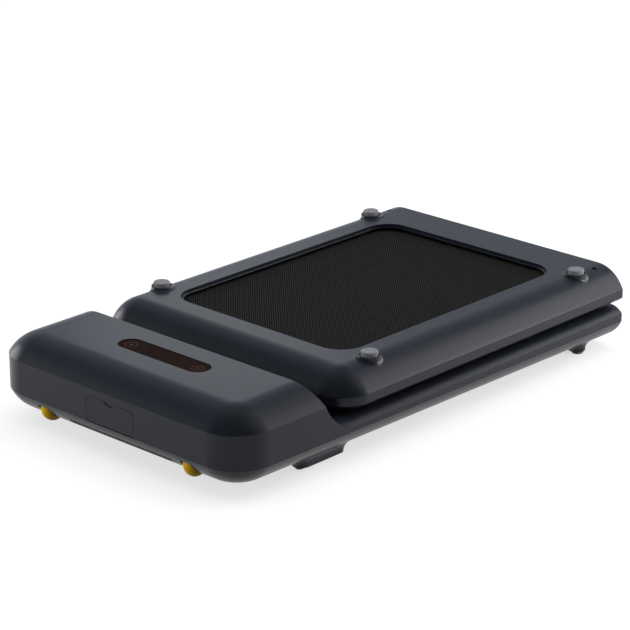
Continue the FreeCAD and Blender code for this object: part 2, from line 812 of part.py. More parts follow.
def display_lens():
    x, reach = front_x + display_place, (display_length - display_width) / 2
    return pill(x, reach, display_width / 2, display_floor, hood_height - display_sink)


def display_board():
    x, top = front_x + display_place, display_floor - display_ledge_thickness - display_post
    half, side = display_board_length / 2, display_board_width / 2 + display_ledge + display_post_radius
    return box(x - side, x + side, -half, half, top - board_thickness, top)


def front_bottom_shell():
    outside, inside, end_wall = tray(front_x, front_corner)
    opening, rim, lip = window_cut(front_rim_drop)
    posts, holes = [], []
    for side in (-1, 1):
        post, drilled, _ = screw_post(side)
        posts.append(post)
        holes += drilled
    posts += beam_posts(*front_beam_ends)
    hull, hollow = with_front_bosses(tilt(to_front(outside))), tilt(to_front(inside))
    window = [tilt(to_front(s)) for s in (opening, rim)]
    uprights = [to_front(p) for p in posts] + floor_pads() + wheel_cheeks()
    inner_posts = Part.Compound(uprights).common(hull)
    shell = hull.cut(hollow).cut(window[0])
    shell = fuse([shell, window[1], to_front(end_wall)] + inner_posts.Solids)
    half = wheel_width / 2 + wheel_gap
    wells = both_sides(rod_y(wheel_x, wheel_height, wheel_radius + wheel_gap,
                             wheel_side - half, wheel_side + half))
    tools = wells + vents() + [to_front(h) for h in holes] + front_seats() + axle_bores()
    return cut(shell, tools)


def down(shape, level):
    return shape.mirror(V(0, 0, level), V(0, 0, 1))


def front_foot_spots():
    return [(fold_x - floor_foot_fold, side * floor_foot_side) for side in (-1, 1)]


def pad_spots(shift):
    return [(front_x + pad_place, side * (foot_side - shift)) for side in (-1, 1)]


def with_front_bosses(hull):
    top = underside_height(front_x) + side_round / 2
    low, middle = -2 * pad_flare, (front_x + fold_x) / 2
    bosses = [rod_z(x, y, floor_boss_radius, low, top) for x, y in front_foot_spots()]
    hull = flared(hull, bosses, floor_flare)
    hull = hull.cut(box(middle, fold_x, -half_width, half_width, low, floor_foot_show))
    pads = [long_pad(x, y, pad_boss, low, top) for x, y in pad_spots(0)]
    hull = flared(hull, pads, pad_flare)
    return hull.cut(box(front_x, middle, -half_width, half_width, low, foot_show))


def long_pad(x, y, radius, z0, z1):
    ends = [rod_z(x + shift, y, radius, z0, z1) for shift in (-pad_length / 2, pad_length / 2)]
    bar = box(x - pad_length / 2, x + pad_length / 2, y - radius, y + radius, z0, z1)
    return fuse(ends + [bar])


def front_seats():
    seats = [rod_z(x, y, floor_foot_radius + floor_foot_ring, 0, floor_foot_show + foot_sink)
             for x, y in front_foot_spots()]
    return seats + [long_pad(x, y, pad_radius + floor_foot_ring, 0, foot_show + foot_sink)
                    for x, y in pad_spots(pad_shift)]


def floor_pads():
    motor_spots = [(motor_x + sx * (bracket_half - floor_pad_radius), y)
                   for sx in (-1, 1) for y in (motor_start + floor_pad_radius,
                                               motor_start + motor_length - floor_pad_radius)]
    x, y0 = front_x + control_place, control_start
    board_spots = [(x + sx * (control_length / 2 - control_inset), y0 + y)
                   for sx in (-1, 1) for y in (control_inset, control_width - control_inset)]
    return [rod_z(px, y, floor_pad_radius, 0, floor_pad_height) for px, y in motor_spots + board_spots]


def wheel_cheeks():
    cheeks = []
    for edge in (-1, 1):
        inner = wheel_side + edge * (wheel_width / 2 + wheel_gap)
        y0, y1 = sorted((inner, inner + edge * cheek_thickness))
        disc = rod_y(wheel_x, wheel_height, cheek_radius, y0, y1)
        leg = box(wheel_x - cheek_radius, wheel_x + cheek_radius, y0, y1, 0, wheel_height)
        cheeks += both_sides(fuse([disc, leg]))
    return cheeks


def axle_bores():
    reach = wheel_width / 2 + wheel_gap + cheek_thickness
    return both_sides(rod_y(wheel_x, wheel_height, wheel_axle_radius + running_clear,
                            wheel_side - reach, wheel_side + reach))


def vents():
    slots = []
    high = underside_height(front_x) + side_round / 2
    for n in range(vent_count):
        y = vent_middle + (n - (vent_count - 1) / 2) * vent_pitch
        slots.append(box(front_x + vent_start, front_x + vent_start + vent_length, y - vent_width / 2,
                         y + vent_width / 2, 0, high))
    return slots


# Wheels
def wheel(side):
    y = side * wheel_side
    y0, y1 = y - wheel_width / 2, y + wheel_width / 2
    body = rod_y(wheel_x, wheel_height, wheel_radius, y0, y1)
    body = body.makeFillet(wheel_round, [e for e in body.Edges if len(e.Vertexes) == 1])
    dish = wheel_radius - wheel_round
    dishes = [ring_y(wheel_x, wheel_height, wheel_hub, dish, y0, y0 + wheel_dish),
              ring_y(wheel_x, wheel_height, wheel_hub, dish, y1 - wheel_dish, y1)]
    bore = rod_y(wheel_x, wheel_height, wheel_axle_radius + running_clear, y0, y1)
    return cut(body, dishes + [bore])


def wheel_axles():
    reach = wheel_width / 2 + wheel_gap + cheek_thickness
    return Part.Compound(both_sides(rod_y(wheel_x, wheel_height, wheel_axle_radius,
                                          wheel_side - reach, wheel_side + reach)))


# Inlet flap and the two pieces behind it
def inlet_door():
    plate = box(front_x, front_x + door_thickness, -door_half, door_half, door_foot, door_top)
    plate = plate.makeFillet(door_corner, [e for e in plate.Edges if is_top_corner(e, door_top)])
    x, z = front_x + door_pin_place, door_pin_height
    lug = rod_y(x, z, door_lug_radius, door_lug_inner, door_lug_inner + door_lug_width)
    bore = rod_y(x, z, door_pin_radius + running_clear, -door_half, door_half)
    notch = pill_x(front_x, notch_sink, notch_width, notch_depth, door_top)
    return cut(fuse([plate] + both_sides(lug)), [bore, notch])


# Finger notch: a slot with round ends, open at the top edge
def pill_x(x, length, width, depth, top):
    ends = [rod((1, 0, 0), (x, y, top), depth, length) for y in (depth - width / 2, width / 2 - depth)]
    return fuse(ends + [box(x, x + length, depth - width / 2, width / 2 - depth, top - depth, top + depth)])


def door_pin():
    half = door_half + door_gap + pin_lug_width
    return rod_y(front_x + door_pin_place, door_pin_height, door_pin_radius, -half, half)


def inlet_hole():
    half, tall = inlet_width / 2, inlet_height / 2
    return box(pocket_x, pocket_x + pocket_wall, inlet_middle - half, inlet_middle + half,
               pocket_middle - tall, pocket_middle + tall)


def power_inlet():
    half, tall = inlet_width / 2 - running_clear, inlet_height / 2 - running_clear
    y, z = inlet_middle, pocket_middle
    flange = box(pocket_x - inlet_flange, pocket_x, y - half - inlet_flange, y + half + inlet_flange,
                 z - tall - inlet_flange, z + tall + inlet_flange)
    body = box(pocket_x, pocket_x + inlet_depth, y - half, y + half, z - tall, z + tall)
    mouth = box(pocket_x - inlet_flange, pocket_x + inlet_cavity,
                y - half + inlet_shell, y + half - inlet_shell,
                z - tall + inlet_shell, z + tall - inlet_shell)
    pins = []
    for n, rise in ((-1, 0), (0, inlet_earth_rise), (1, 0)):
        py = y + n * inlet_pin_pitch
        pins.append(box(pocket_x + inlet_cavity - inlet_pin_length, pocket_x + inlet_cavity,
                        py - inlet_pin_width / 2, py + inlet_pin_width / 2,
                        z + rise - inlet_pin_height, z + rise))
    return fuse([fuse([flange, body]).cut(mouth)] + pins)


def rocker_hole():
    half = rocker_width / 2 + rocker_play + rocker_frame_wall
    tall = rocker_half_height + rocker_face / 2 + rocker_play + rocker_frame_wall
    return box(pocket_x, pocket_x + pocket_wall, rocker_middle - half, rocker_middle + half,
               pocket_middle - tall, pocket_middle + tall)


def rocker_frame():
    half = rocker_width / 2 + rocker_play
    tall = rocker_half_height + rocker_face / 2 + rocker_play
    rim = rocker_frame_wall - running_clear
    y, z = rocker_middle, pocket_middle
    flange = box(pocket_x - inlet_flange, pocket_x, y - half - 2 * rim, y + half + 2 * rim,
                 z - tall - 2 * rim, z + tall + 2 * rim)
    body = box(pocket_x, pocket_x + rocker_frame_depth, y - half - rim, y + half + rim,
               z - tall - rim, z + tall + rim)
    mouth = box(pocket_x - inlet_flange, pocket_x + rocker_frame_depth - rim,
                y - half, y + half, z - tall, z + tall)
    pivot = rod_y(front_x + rocker_place, z, rocker_pivot_radius, y - half, y + half)
    return fuse([fuse([flange, body]).cut(mouth), pivot])


def power_rocker():
    x, z = front_x + rocker_place, pocket_middle
    y0 = rocker_middle - rocker_width / 2
    outline = [(-rocker_face, rocker_half_height), (-rocker_dip, 0), (-rocker_face, -rocker_half_height),
               (rocker_back, -rocker_back_half), (rocker_back, rocker_back_half)]
    block = prism([(x + dx, y0, z + dz) for dx, dz in outline], (0, rocker_width, 0))
    bore = rod_y(x, z, rocker_pivot_radius + running_clear, y0, y0 + rocker_width)
    return block.cut(bore).rotated(V(x, 0, z), V(0, 1, 0), -rocker_tilt)


# Motor, its belt drive and the electronics
def hull_y(spots, y0, y1):
    (xa, za, ra), (xb, zb, rb) = spots
    span = math.hypot(xb - xa, zb - za)
    heading = math.atan2(zb - za, xb - xa)
    spread = math.acos((ra - rb) / span)
    corners = []
    for angle, order in ((heading + spread, 1), (heading - spread, -1)):
        ends = [(x + r * math.cos(angle), y0, z + r * math.sin(angle)) for x, z, r in spots]
        corners += ends[::order]
    discs = [rod_y(x, z, r, y0, y1) for x, z, r in spots]
    return fuse(discs + [prism(corners, (0, y1 - y0, 0))])


def drive_belt():
    y0 = pulley_start + roller_clear
    y1 = pulley_start + pulley_width - roller_clear
    drive_z = hinge_height - roller_depth

    def loop(extra):
        return hull_y([(drive_x, drive_z, roller_pulley_radius + extra),
                       (motor_x, motor_height, motor_pulley_radius + extra)], y0, y1)

    return loop(roller_clear + drive_belt_thickness).cut(loop(roller_clear))


def drive_roller():
    z = hinge_height - roller_depth
    y0, y1 = pulley_start, pulley_start + pulley_width
    hub = ring_y(drive_x, z, roller_bore, roller_hub_radius, y0, -roller_half)
    pulley = ring_y(drive_x, z, roller_bore, roller_pulley_radius, y0, y1)
    return roller(drive_x, z, [hub, pulley])


def motor_body():
    y0, y1 = motor_start, motor_start + motor_length
    can = rod_y(motor_x, motor_height, motor_radius, y0 + motor_cap, y1 - motor_cap)
    caps = rod_y(motor_x, motor_height, motor_radius - motor_bell, y0, y1)
    bore = rod_y(motor_x, motor_height, shaft_radius + shaft_clear, y0, y1)
    return fuse([can, caps]).cut(bore)


def motor_rotor():
    y1 = motor_start + motor_length
    shaft = rod_y(motor_x, motor_height, shaft_radius, pulley_start, y1 + flywheel_gap + flywheel_width)
    pulley = rod_y(motor_x, motor_height, motor_pulley_radius, pulley_start, pulley_start + pulley_width)
    wheel_disc = rod_y(motor_x, motor_height, flywheel_radius, y1 + flywheel_gap,
                       y1 + flywheel_gap + flywheel_width)
    return fuse([shaft, pulley, wheel_disc])


def motor_bracket():
    y0, y1 = motor_start + motor_cap, motor_start + motor_length - motor_cap
    base = box(motor_x - bracket_half, motor_x + bracket_half, motor_start, motor_start + motor_length,
               floor_pad_height, floor_pad_height + bracket_thickness)
    plates = [box(motor_x - bracket_half, motor_x + bracket_half, y, y + bracket_plate,
                  floor_pad_height, motor_height) for y in (y0, y1 - bracket_plate)]
    cradle = rod_y(motor_x, motor_height, motor_radius + bracket_clear,
                   motor_start, motor_start + motor_length)
    return fuse([base] + plates).cut(cradle)


def control_board():
    x, half = front_x + control_place, control_length / 2
    return box(x - half, x + half, control_start, control_start + control_width,
               floor_pad_height, floor_pad_height + board_thickness)


def heat_sink():
    x, z = front_x + control_place, floor_pad_height + board_thickness
    y0 = control_start + (control_width - sink_width) / 2
    base = box(x - sink_length / 2, x + sink_length / 2, y0, y0 + sink_width, z, z + sink_base)
    pitch = (sink_width - sink_fin) / (sink_fin_count - 1)
    fins = [box(x - sink_length / 2, x + sink_length / 2, y0 + n * pitch, y0 + n * pitch + sink_fin,
                z, z + sink_height) for n in range(sink_fin_count)]
    return fuse([base] + fins)


def rail_bumpers():
    made = []
    for share in bumper_shares:
        x = fold_x - share * rear_length
        pad = rod_z(x, bumper_side, bumper_radius, rail_top, hinge_height + rail_depth - seam)
        made += both_sides(pad)
    return Part.Compound(made)


# Every node and its solid
front_lower_idler, front_upper_idler = idlers(to_front)
rear_lower_idler, rear_upper_idler = idlers(to_rear)
drive_z = hinge_height - roller_depth
tail_z = hinge_height + roller_depth
floor_foot_top = floor_foot_show + foot_sink
front_feet = [rubber_foot(x, y, floor_foot_radius, 0, floor_foot_top) for x, y in front_foot_spots()]
folded_height = 2 * hinge_height
rear_foot_base = folded_height - foot_show - foot_sink
rear_feet = [rubber_foot(fold_x - d, side * foot_side, foot_radius, rear_foot_base, folded_height)
             for d in (foot_fold, foot_tail) for side in (-1, 1)]
front_feet = [down(foot, floor_foot_top / 2) for foot in front_feet]
screws = [screw_post(side)[2] for side in (-1, 1)]
pin = rod_y(hinge_x, hinge_height, hinge_pin_radius, rear_ear[0], front_ear[1])
front_beam, rear_beam = beam(*front_beam_ends), beam(*rear_beam_ends)
bumpers = rail_bumpers()

nodes = {
    "front_top_cover": front_top_cover(),
    "front_bottom_shell": front_bottom_shell(),
    "front_left_beam": to_front(both_sides(front_beam)[0]),
    "front_right_beam": to_front(both_sides(front_beam)[1]),
    "front_cross_members": to_front(cross_tubes()),
    "front_deck_board": to_front(deck(drive_x)),
    "front_belt": to_front(belt_half_run(drive_x)),
    "belt_fold_span": fold_span(),
    "drive_roller": drive_roller(),
    "drive_roller_axle": rod_y(drive_x, drive_z, axle_radius, -beam_inner, beam_inner),
    "drive_roller_bearings": bearings(drive_x, drive_z),
    "front_lower_idler": front_lower_idler,
    "front_upper_idler": front_upper_idler,
    "front_idler_axles": idler_axles(to_front, front_ear[0]),
    "motor_body": motor_body(),
    "motor_rotor": motor_rotor(),
    "motor_bracket": motor_bracket(),
    "drive_belt": drive_belt(),
    "control_board": control_board(),
    "heat_sink": heat_sink(),
    "display_lens": display_lens(),
    "display_board": display_board(),
    "inlet_door": inlet_door(),
    "door_hinge_pin": door_pin(),
    "power_inlet": power_inlet(),
    "power_rocker": power_rocker(),
    "rocker_frame": rocker_frame(),
    "left_wheel": wheel(1),
    "right_wheel": wheel(-1),
    "wheel_axles": wheel_axles(),
    "front_rubber_feet": Part.Compound(front_feet),
    "hood_foot_pads": Part.Compound([long_pad(x, y, pad_radius, 0, foot_show + foot_sink)
                                     for x, y in pad_spots(pad_shift)]),
    "front_shell_screws": Part.Compound([to_front(s) for s in screws]),
    "front_hinge_brackets": Part.Compound([to_front(s) for s in both_sides(hinge_bracket(front_ear))]),
    "hinge_pins": Part.Compound(both_sides(pin)),
    "rail_bumpers": bumpers,
    "rear_rail_cover": rear_rail_cover(),
    "rear_bottom_shell": rear_bottom_shell(),
    "rear_left_beam": to_rear(both_sides(rear_beam)[0]),
    "rear_right_beam": to_rear(both_sides(rear_beam)[1]),
    "rear_cross_members": to_rear(cross_tubes()),
    "rear_deck_board": to_rear(deck(tail_roller_x)),
    "rear_belt": to_rear(belt_half_run(tail_roller_x)),
    "tail_roller": roller(tail_roller_x, tail_z, []),
    "tail_roller_axle": tail_axle(),
    "tail_roller_bearings": bearings(tail_roller_x, tail_z),
    "belt_tension_bolts": tension_bolts(),
    "tension_brackets": tension_brackets(),
    "rear_lower_idler": rear_lower_idler,
    "rear_upper_idler": rear_upper_idler,
    "rear_idler_axles": idler_axles(to_rear, rear_ear[0]),
    "rear_rubber_feet": Part.Compound(rear_feet),
    "rear_shell_screws": Part.Compound([to_rear(s) for s in screws]),
    "rear_hinge_brackets": Part.Compound([to_rear(s) for s in both_sides(hinge_bracket(rear_ear))]),
}

for name, shape in nodes.items():
    shape.exportStep("parts/" + name + ".step")
    print(name, len(shape.Solids), "solids", round(shape.Volume / 1000.0, 2), "cm3", shape.isValid())
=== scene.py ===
import json
import math

import bmesh
import bpy
import numpy as np
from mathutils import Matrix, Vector


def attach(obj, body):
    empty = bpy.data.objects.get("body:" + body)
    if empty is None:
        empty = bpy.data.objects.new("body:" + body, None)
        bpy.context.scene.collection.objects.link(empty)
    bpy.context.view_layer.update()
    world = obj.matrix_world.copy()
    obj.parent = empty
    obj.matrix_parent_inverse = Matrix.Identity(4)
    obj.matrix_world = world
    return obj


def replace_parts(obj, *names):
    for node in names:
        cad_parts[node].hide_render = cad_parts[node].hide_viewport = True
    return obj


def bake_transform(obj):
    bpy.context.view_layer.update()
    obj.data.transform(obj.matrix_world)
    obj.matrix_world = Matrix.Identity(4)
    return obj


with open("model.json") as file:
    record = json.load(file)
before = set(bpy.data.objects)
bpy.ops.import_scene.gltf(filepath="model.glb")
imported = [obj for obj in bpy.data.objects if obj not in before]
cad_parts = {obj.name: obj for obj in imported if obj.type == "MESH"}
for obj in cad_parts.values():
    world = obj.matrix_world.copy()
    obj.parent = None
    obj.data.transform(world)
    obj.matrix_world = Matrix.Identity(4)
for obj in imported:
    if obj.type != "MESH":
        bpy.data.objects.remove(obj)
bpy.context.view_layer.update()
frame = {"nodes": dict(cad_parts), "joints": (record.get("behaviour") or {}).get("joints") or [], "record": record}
nodes = frame["nodes"]
record = frame["record"]
bodyOf = {node: body for body, members in record["behaviour"]["bodies"].items() for node in members}
slotOf = {s["node"]: s["material_slot"] for s in record["subparts"]}
joints = {j["name"]: j for j in frame["joints"]}
foldX, _, foldZ = joints["fold_hinge"]["pos_m"]
mm = 0.001
print("stage: frame loaded,", len(nodes), "nodes")


# a shader socket that takes part in Python sums
class Sock:
    def __init__(self, tree, socket):
        self.tree, self.socket = tree, socket

    def calc(self, operation, first, second=0.0):
        return self.tree.add("Math", {"operation": operation}, {0: first, 1: second})

    # a wave between 0 and 1
    def wave(self):
        return self.calc("SINE", self) * 0.5 + 0.5

    def size(self):
        return self.calc("ABSOLUTE", self)

    def below(self, limit):
        return self.calc("LESS_THAN", self, limit)

    def orElse(self, other):
        return self.calc("MAXIMUM", self, other)


operators = {"add": "ADD", "sub": "SUBTRACT", "mul": "MULTIPLY", "truediv": "DIVIDE", "pow": "POWER"}
for word, operation in operators.items():
    setattr(Sock, f"__{word}__", lambda self, other, op=operation: self.calc(op, self, other))
    setattr(Sock, f"__r{word}__", lambda self, other, op=operation: self.calc(op, other, self))


# a node tree, of a material or of the world
class Tree:
    def __init__(self, owner):
        owner.use_nodes = True
        self.tree = owner.node_tree
        self.tree.nodes.clear()

    # any node: its type, its settings, then its sockets' values or links
    def add(self, kind, settings=None, inputs=None, out=0):
        node = self.tree.nodes.new("ShaderNode" + kind)
        for key, value in (settings or {}).items():
            if key == "stops":
                ramp = node.color_ramp.elements
                while len(ramp) < len(value):
                    ramp.new(0.5)
                for element, (place, colour) in zip(ramp, value):
                    element.position, element.color = place, (*colour[:3], 1.0)
            else:
                setattr(node, key, value)
        for key, value in (inputs or {}).items():
            self.put(node.inputs[key], value)
        return Sock(self, node.outputs[out]) if len(node.outputs) else node

    def put(self, socket, value):
        if isinstance(value, Sock):
            self.tree.links.new(value.socket, socket)
        else:
            socket.default_value = value

    def place(self):
        return self.add("TexCoord", out="Object")

    def split(self, vector):
        return [self.add("SeparateXYZ", None, {0: vector}, out=axis) for axis in "XYZ"]

    def noise(self, vector, scale, detail=2.0, rough=0.5):
        return self.add("TexNoise", None,
                        {"Vector": vector, "Scale": scale, "Detail": detail, "Roughness": rough})

    def noiseAlong(self, value, scale, detail=2.0):
        return self.add("TexNoise", {"noise_dimensions": "1D"},
                        {"W": value, "Scale": scale, "Detail": detail})

    def mix(self, share, first, second):
        return self.add("Mix", {"data_type": "RGBA"}, {0: share, 6: first, 7: second}, out=2)


class Paint(Tree):
    def __init__(self, name):
        self.material = bpy.data.materials.new(name)
        super().__init__(self.material)
        self.surface = self.tree.nodes.new("ShaderNodeBsdfPrincipled")
        self.add("OutputMaterial", None, {0: Sock(self, self.surface.outputs[0])})

    def set(self, **inputs):
        for key, value in inputs.items():
            self.put(self.surface.inputs[key.replace("_", " ")], value)

    def bump(self, height, distance, strength):
        self.set(Normal=self.add("Bump", None,
                                 {"Height": height, "Distance": distance, "Strength": strength}))


def srgb(r, g, b):
    values = [c / 255.0 for c in (r, g, b)]
    return tuple(c / 12.92 if c <= 0.04045 else ((c + 0.055) / 1.055) ** 2.4 for c in values) + (1.0,)


# two values joined, the first with the given share
def joined(first, share, second):
    return first * share + second * (1 - share)


# satin moulding: slow drift of tone, and the fine spark-eroded grain of the mould
moulding = {"grainScale": 1500.0, "grainDetail": 3.0, "grainRough": 0.6, "driftScale": 7.0, "driftShare": 0.7,
            "roughSpread": 0.12, "relief": 0.5}
charcoal = {"dark": srgb(27, 30, 37), "light": srgb(31, 34, 43), "rough": 0.31, "specular": 0.22,
            "grain": 0.03 * mm}
black = {"dark": srgb(20, 20, 21), "light": srgb(28, 28, 30), "rough": 0.5, "specular": 0.25,
         "grain": 0.04 * mm}


def mouldedPlastic(name, look):
    paint = Paint(name)
    at = paint.place()
    grain = paint.noise(at, moulding["grainScale"], moulding["grainDetail"], moulding["grainRough"])
    drift = paint.noise(at, moulding["driftScale"])
    tone = joined(drift, moulding["driftShare"], grain)
    rough = grain * moulding["roughSpread"] + (look["rough"] - moulding["roughSpread"] / 2)
    paint.set(Base_Color=paint.mix(tone, look["dark"], look["light"]), Roughness=rough,
              Specular_IOR_Level=look["specular"])
    paint.bump(grain, look["grain"], moulding["relief"])
    return paint.material


# belt cover: ribs at 45 degrees to the run with a fainter cross rib, worn a little by grit; the near-black in the
# grooves between the ribs is painted shade
beltLook = {"pitch": 3.45 * mm, "paintedGrooveShade": srgb(3, 3, 3), "rib": srgb(50, 49, 48), "depth": 0.35 * mm,
            "ribShare": 0.85, "sharpness": 1.5, "weaveShare": 0.85, "gritScale": 900.0, "rough": 0.85,
            "polish": 0.1, "specular": 0.02, "relief": 0.5}


def ribbedBelt(name):
    look = beltLook
    paint = Paint(name)
    along, across, _ = paint.split(paint.add("UVMap", {"uv_map": "run"}))
    turn = 2 * math.pi / (look["pitch"] * math.sqrt(2))
    rib = ((along - across) * turn).wave()
    cross = ((along + across) * turn).wave()
    weave = joined(rib, look["ribShare"], cross) ** look["sharpness"]
    grit = paint.noise(paint.place(), look["gritScale"])
    tone = joined(weave, look["weaveShare"], grit)
    # the low parts of the weave take the near-black groove colour as painted shade in the grooves; the grit is
    # wear
    paint.set(Base_Color=paint.mix(tone, look["paintedGrooveShade"], look["rib"]),
              Roughness=look["rough"] - rib * look["polish"], Specular_IOR_Level=look["specular"])
    paint.bump(weave, look["depth"], look["relief"])
    return paint.material


# foot rubber: fine specks under a film of dust
rubberLook = {"dark": srgb(106, 106, 110), "light": srgb(132, 132, 136), "speckScale": 1100.0,
              "speckDetail": 4.0, "speckRough": 0.7, "dustScale": 60.0, "dustShare": 0.6, "rough": 0.6,
              "roughSpread": 0.2, "specular": 0.2, "depth": 0.05 * mm, "relief": 0.6}


def footRubber(name):
    look = rubberLook
    paint = Paint(name)
    at = paint.place()
    speck = paint.noise(at, look["speckScale"], look["speckDetail"], look["speckRough"])
    dust = paint.noise(at, look["dustScale"])
    tone = joined(dust, look["dustShare"], speck)
    paint.set(Base_Color=paint.mix(tone, look["dark"], look["light"]),
              Roughness=look["rough"] + speck * look["roughSpread"], Specular_IOR_Level=look["specular"])
    paint.bump(speck, look["depth"], look["relief"])
    return paint.material


# wheels: bright plastic, scuffed in patches
wheelLook = {"scuffed": srgb(216, 160, 0), "clean": srgb(242, 194, 2), "scuffScale": 140.0,
             "scuffDetail": 5.0, "scuffRough": 0.65, "rough": 0.38, "roughSpread": 0.2, "specular": 0.25,
             "depth": 0.05 * mm, "relief": 0.4}


def wheelPlastic(name):
    look = wheelLook
    paint = Paint(name)
    scuff = paint.noise(paint.place(), look["scuffScale"], look["scuffDetail"], look["scuffRough"])
    paint.set(Base_Color=paint.mix(scuff, look["scuffed"], look["clean"]),
              Roughness=look["rough"] + scuff * look["roughSpread"], Specular_IOR_Level=look["specular"])
    paint.bump(scuff, look["depth"], look["relief"])
    return paint.material


# smoked panel with two touch keys, start and pause, printed as faint rings; mm from the panel's middle
displayLook = {"tint": srgb(34, 25, 24), "haze": srgb(39, 30, 28), "print": srgb(84, 66, 62),
               "hazeScale": 25.0, "rough": 0.3, "roughSpread": 0.06, "specular": 0.0,
               "keyPlace": 70.0, "ringRadius": 9.2, "line": 0.9,
               "startBack": -2.4, "startTip": 3.4, "startHalf": 3.0,
               "barPlace": 1.5, "barHalf": 0.55, "barHeight": 2.8}


def displayGlass(name):
    look = displayLook
    paint = Paint(name)
    at = paint.place()
    haze = paint.noise(at, look["hazeScale"])
    x, y, _ = paint.split(at)
    middle = np.array(nodes["display_lens"].bound_box)[:, 0].mean()
    side = y / mm
    over = ((x - middle) / mm).size()
    fromKey = side.size() - look["keyPlace"]
    ring = ((fromKey ** 2.0 + over ** 2.0) ** 0.5 - look["ringRadius"]).size().below(look["line"] / 2)
    start, pause = side - look["keyPlace"], (side + look["keyPlace"]).size()
    slope = look["startHalf"] / (look["startTip"] - look["startBack"])
    arrow = (over + start * slope).below(look["startTip"] * slope) * (1 - start.below(look["startBack"]))
    bars = (pause - look["barPlace"]).size().below(look["barHalf"]) * over.below(look["barHeight"])
    mark = ring.orElse(arrow).orElse(bars)
    glass = paint.mix(haze, look["tint"], look["haze"])
    paint.set(Base_Color=paint.mix(mark, glass, look["print"]),
              Roughness=look["rough"] + haze * look["roughSpread"], Specular_IOR_Level=look["specular"])
    return paint.material


# turned metal: lathe marks run round the Y axis, under a slow smear
steelLook = {"ringScale": 2600.0, "smearScale": 40.0, "smearDetail": 3.0, "ringShare": 0.5, "dull": 0.82,
             "roughSpread": 0.14, "depth": 0.02 * mm, "relief": 0.4}


def turnedSteel(name, tone, rough):
    look = steelLook
    paint = Paint(name)
    at = paint.place()
    _, y, _ = paint.split(at)
    rings = paint.noiseAlong(y, look["ringScale"])
    smear = paint.noise(at, look["smearScale"], look["smearDetail"])
    dull = tuple(c * look["dull"] for c in tone[:3]) + (1.0,)
    paint.set(Base_Color=paint.mix(joined(rings, look["ringShare"], smear), dull, tone),
              Roughness=rings * look["roughSpread"] + (rough - look["roughSpread"] / 2), Metallic=1.0)
    paint.bump(rings, look["depth"], look["relief"])
    return paint.material


# powder coat: the fine orange peel of baked paint
coatLook = {"peelScale": 420.0, "peelDetail": 3.0, "rough": 0.5, "roughSpread": 0.12, "specular": 0.4,
            "depth": 0.08 * mm, "relief": 0.5}


def powderCoat(name, dark, light):
    look = coatLook
    paint = Paint(name)
    peel = paint.noise(paint.place(), look["peelScale"], look["peelDetail"])
    paint.set(Base_Color=paint.mix(peel, dark, light), Roughness=look["rough"] + peel * look["roughSpread"],
              Specular_IOR_Level=look["specular"])
    paint.bump(peel, look["depth"], look["relief"])
    return paint.material


# pressed fibres with the plies showing on the edges
deckLook = {"dark": srgb(74, 60, 46), "light": srgb(122, 101, 76), "chipScale": 320.0, "chipDetail": 4.0,
            "chipRough": 0.7, "chipShare": 0.6, "plyScale": 700.0, "plyDetail": 1.0, "rough": 0.66,
            "roughSpread": 0.15, "depth": 0.1 * mm, "relief": 0.5}


def layeredBoard(name):
    look = deckLook
    paint = Paint(name)
    at = paint.place()
    _, _, z = paint.split(at)
    chips = paint.noise(at, look["chipScale"], look["chipDetail"], look["chipRough"])
    plies = paint.noiseAlong(z, look["plyScale"], look["plyDetail"])
    paint.set(Base_Color=paint.mix(joined(chips, look["chipShare"], plies), look["dark"], look["light"]),
              Roughness=look["rough"] + chips * look["roughSpread"])
    paint.bump(chips, look["depth"], look["relief"])
    return paint.material


# circuit board: lacquer in two greens, with the tracks as the joints of a brick pattern
boardLook = {"offset": 0.35, "trackScale": 90.0, "trackWidth": 0.06, "green": srgb(18, 74, 38),
             "lighter": srgb(22, 86, 46), "track": srgb(60, 132, 74), "stain": srgb(12, 48, 26),
             "speckScale": 300.0, "stainShare": 0.25, "rough": 0.32, "roughSpread": 0.1}


def circuitBoard(name):
    look = boardLook
    paint = Paint(name)
    at = paint.place()
    tracks = paint.add("TexBrick", {"offset": look["offset"]},
                       {"Vector": at, "Scale": look["trackScale"], "Mortar Size": look["trackWidth"],
                        "Color1": look["green"], "Color2": look["lighter"], "Mortar": look["track"]})
    speck = paint.noise(at, look["speckScale"])
    paint.set(Base_Color=paint.mix(speck * look["stainShare"], tracks, look["stain"]),
              Roughness=look["rough"] + speck * look["roughSpread"])
    return paint.material


# painted shade for the vent slots: a dull black with a slow drift
paintedShadeLook = {"dark": srgb(4, 4, 4), "light": srgb(10, 10, 10), "driftScale": 300.0, "rough": 0.95,
             "specular": 0.0}


def mattBlack(name):
    look = paintedShadeLook
    paint = Paint(name)
    drift = paint.noise(paint.place(), look["driftScale"])
    paint.set(Base_Color=paint.mix(drift, look["dark"], look["light"]), Roughness=look["rough"],
              Specular_IOR_Level=look["specular"])
    return paint.material


finishes = {
    "shell": mouldedPlastic("charcoalShell", charcoal),
    "frame_steel": powderCoat("blackFrame", srgb(26, 26, 27), srgb(40, 40, 42)),
    "deck": layeredBoard("deckBoard"),
    "belt": ribbedBelt("ribbedBelt"),
    "steel": turnedSteel("turnedSteel", srgb(190, 190, 193), rough=0.32),
    "motor": powderCoat("motorPaint", srgb(44, 45, 48), srgb(60, 61, 65)),
    "board": circuitBoard("greenBoard"),
    "heat_sink": turnedSteel("finAluminium", srgb(205, 206, 210), rough=0.4),
    "display": displayGlass("displayGlass"),
    "black_plastic": mouldedPlastic("blackPlastic", black),
    "wheel": wheelPlastic("yellowWheel"),
    "foot_rubber": footRubber("greyRubber"),
}
for name, obj in nodes.items():
    obj.data.materials.clear()
    obj.data.materials.append(finishes[slotOf[name]])
print("stage: finishes", len(finishes))


